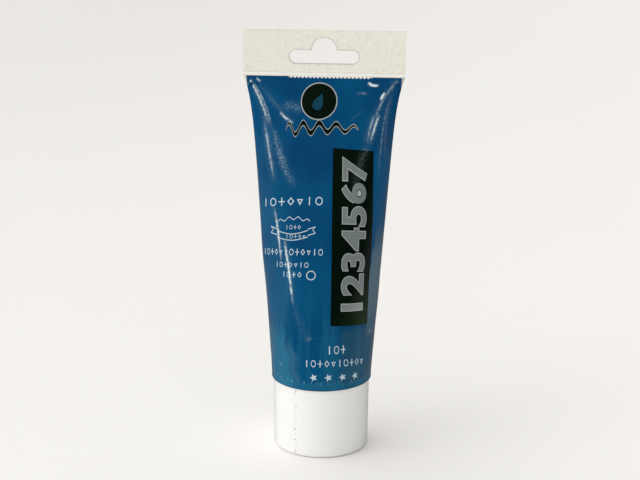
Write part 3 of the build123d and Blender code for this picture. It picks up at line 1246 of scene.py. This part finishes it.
def light_world():
    """A pale room, brighter on the left, with a dark side behind the camera in reflections."""
    recipe = Recipe(bpy.data.worlds.new("studio"))
    bpy.context.scene.world = recipe.owner
    direction = recipe.node("ShaderNodeTexCoord", output="Generated")
    x, y, z = recipe.axes(direction)
    soft = 1 - 0.7 * x
    sides = recipe.rise(y + 0.15 * abs(x), -0.45, 0.05)
    mirrored = 0.004 + 0.14 * sides + 0.06 * recipe.rise(z, 0.45, 0.9)
    glossy = recipe.node("ShaderNodeLightPath", output="Is Glossy Ray")
    seen = recipe.node("ShaderNodeLightPath", output="Is Camera Ray")
    lights = [
        recipe.node("ShaderNodeBackground", None, {"Color": (1, 0.99, 0.975), "Strength": strength})
        for strength in (soft, mirrored, 0.9)
    ]
    shader = recipe.node("ShaderNodeMixShader", None, {0: glossy, 1: lights[0], 2: lights[1]})
    shader = recipe.node("ShaderNodeMixShader", None, {0: seen, 1: shader, 2: lights[2]})
    recipe.finish(shader, "ShaderNodeOutputWorld")


def turned_to(place, target):
    """A matrix at a place whose -Z looks at a target."""
    look = (Vector(target) - Vector(place)).to_track_quat("-Z", "Y")
    return Matrix.LocRotScale(Vector(place), look, None)


# name, place, size and power of each light, and whether it shows in the gloss or lights the surfaces
LIGHTS = [
    ("key", (-0.9, -0.5, 0.75), (0.7, 0.7), 1.5, False),
    ("glint_left", (-0.75, -0.35, 0.4), (0.12, 0.3), 4, True),
    ("glint_right", (0.5, -0.45, 0.75), (0.1, 0.1), 2, True),
]
LIT_POINT = (0, 0, 0.08)
FLOOR_REACH = 6  # metres from the middle of the floor to its sides


def add_light(name, place, size, power, mirrored):
    """A rectangular light that either lights the surfaces softly or shows in the gloss."""
    light = bpy.data.lights.new(name, "AREA")
    light.shape = "RECTANGLE"
    light.size, light.size_y = size
    light.energy = power
    lamp = new_object(name, light)
    lamp.matrix_world = turned_to(place, LIT_POINT)
    lamp.visible_glossy = mirrored
    lamp.visible_diffuse = not mirrored
    lamp.visible_camera = False


def add_camera(studio):
    """The camera, aimed down at the tube from in front."""
    camera = bpy.data.cameras.new("camera")
    camera.lens = studio.lens
    camera.sensor_width = 36
    camera.clip_start = 0.01
    camera.clip_end = 20
    aim = Vector((studio.aim_x, 0, studio.aim_z))
    turned = Matrix.Rotation(studio.turn, 4, "Z") @ Matrix.Rotation(math.pi / 2 - studio.pitch, 4, "X")
    back = Matrix.Translation((0, 0, studio.distance))
    holder = new_object("camera", camera)
    holder.matrix_world = Matrix.Translation(aim) @ turned @ back @ Matrix.Rotation(studio.roll, 4, "Z")
    bpy.context.scene.camera = holder


def add_floor(studio):
    """The floor under the cap."""
    shape = bmesh.new()
    bmesh.ops.create_grid(shape, x_segments=1, y_segments=1, size=FLOOR_REACH)
    floor = new_object("floor", new_mesh("floor", shape))
    floor.data.materials.append(floor_material(studio))
    floor.visible_glossy = False


# Operators


class StepOperator:
    """What the operators share."""

    bl_options = {"REGISTER", "UNDO"}

    def execute(self, context):
        self.make(context.scene)
        return {"FINISHED"}


class MakeFilm(StepOperator, bpy.types.Operator):
    """Make the film of the tube, creased and welded at its foot"""

    bl_idname = "paint_tube.make_film"
    bl_label = "Film"

    def make(self, scene):
        film = scene.tube_film
        make_film(film, film_material(film))


class MakePaint(StepOperator, bpy.types.Operator):
    """Make the paint that fills the film"""

    bl_idname = "paint_tube.make_paint"
    bl_label = "Paint"

    def make(self, scene):
        film = scene.tube_film
        make_paint(film, paint_material(film))


class MakeTail(StepOperator, bpy.types.Operator):
    """Make the flat sealed tail with its hang slot"""

    bl_idname = "paint_tube.make_tail"
    bl_label = "Tail"

    def make(self, scene):
        make_tail(scene.tube_film, scene.tube_tail, tail_material(scene.tube_film, scene.tube_tail))


class MakePrint(StepOperator, bpy.types.Operator):
    """Lay the printing on the film, layer by layer"""

    bl_idname = "paint_tube.make_print"
    bl_label = "Print"

    def make(self, scene):
        art, form = scene.tube_print, FilmForm(scene.tube_film)
        numerals, emblem = bmesh.new(), bmesh.new()
        draw_numerals(numerals, art, 0.026)
        drop(emblem, DISC_ACROSS, art.disc_height / MM, 2.4)
        lean(emblem, art)
        layers = [
            ("print_dark", draw_dark(art), 1, "dark_ink", art.dark, art.tint, 0.3),
            ("print_outlines", draw_outlines(art), 2, "silver_ink", art.silver, art.silver, 0.0),
            ("print_numerals", numerals, 3, "grey_ink", art.grey, art.silver, 0.5),
            ("print_small", draw_small_print(), 1, "pale_ink", art.pale, art.pale, 0.0),
            ("print_drop", emblem, 2, "teal_ink", art.teal, art.tint, 0.4),
        ]
        for name, drawing, layer, finish, first, second, worn in layers:
            material = ink_material(finish, first, second, art, worn)
            lay_ink(name, drawing, form, layer, art.ink / MM, material)


class FinishCap(StepOperator, bpy.types.Operator):
    """Give the cap its scuffed white plastic"""

    bl_idname = "paint_tube.finish_cap"
    bl_label = "Cap"

    def make(self, scene):
        give_finish("cap", cap_material(scene.tube_cap))


class FinishInside(StepOperator, bpy.types.Operator):
    """Give the head, the liner and the foil their finishes"""

    bl_idname = "paint_tube.finish_inside"
    bl_label = "Head, liner and foil"

    def make(self, scene):
        give_finish("head", head_material(scene.tube_cap))
        give_finish("cap_liner", foam_material(scene.tube_cap))
        give_finish("seal_foil", foil_material(scene.tube_cap))


class SetStage(StepOperator, bpy.types.Operator):
    """Set the floor, the lights and the camera"""

    bl_idname = "paint_tube.set_stage"
    bl_label = "Stage"

    def make(self, scene):
        studio = scene.tube_studio
        scene.view_settings.view_transform = "Standard"
        add_floor(studio)
        light_world()
        for light in LIGHTS:
            add_light(*light)
        add_camera(studio)


def give_finish(node, material):
    """Puts a material on a construction node."""
    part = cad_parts[node]
    part.data.materials.clear()
    part.data.materials.append(material)


OPERATORS = (MakeFilm, MakePaint, MakeTail, MakePrint, FinishCap, FinishInside, SetStage)
GROUPS = {
    "tube_film": FilmSettings,
    "tube_tail": TailSettings,
    "tube_print": PrintSettings,
    "tube_cap": CapSettings,
    "tube_studio": StudioSettings,
}


class PaintTubePanel(bpy.types.Panel):
    """Steps and settings of the paint tube"""

    bl_idname = "VIEW3D_PT_paint_tube"
    bl_label = "Paint Tube"
    bl_space_type = "VIEW_3D"
    bl_region_type = "UI"
    bl_category = "Paint Tube"

    def draw(self, context):
        for operator in OPERATORS:
            self.layout.operator(operator.bl_idname)
        for name, group in GROUPS.items():
            box = self.layout.box()
            for setting in group.__annotations__:
                box.prop(getattr(context.scene, name), setting)


def register():
    """Registers the settings, the steps and the panel."""
    for group in (*GROUPS.values(), *OPERATORS, PaintTubePanel):
        bpy.utils.register_class(group)
    for name, group in GROUPS.items():
        setattr(bpy.types.Scene, name, bpy.props.PointerProperty(type=group))


def unregister():
    """Takes back what register did."""
    for name in GROUPS:
        delattr(bpy.types.Scene, name)
    for group in (PaintTubePanel, *OPERATORS[::-1], *GROUPS.values()):
        bpy.utils.unregister_class(group)


def main():
    """Runs the steps in order."""
    register()
    bpy.ops.paint_tube.make_film()
    bpy.ops.paint_tube.make_paint()
    bpy.ops.paint_tube.make_tail()
    bpy.ops.paint_tube.make_print()
    bpy.ops.paint_tube.finish_cap()
    bpy.ops.paint_tube.finish_inside()
    bpy.ops.paint_tube.set_stage()


if __name__ == "__main__":
    main()
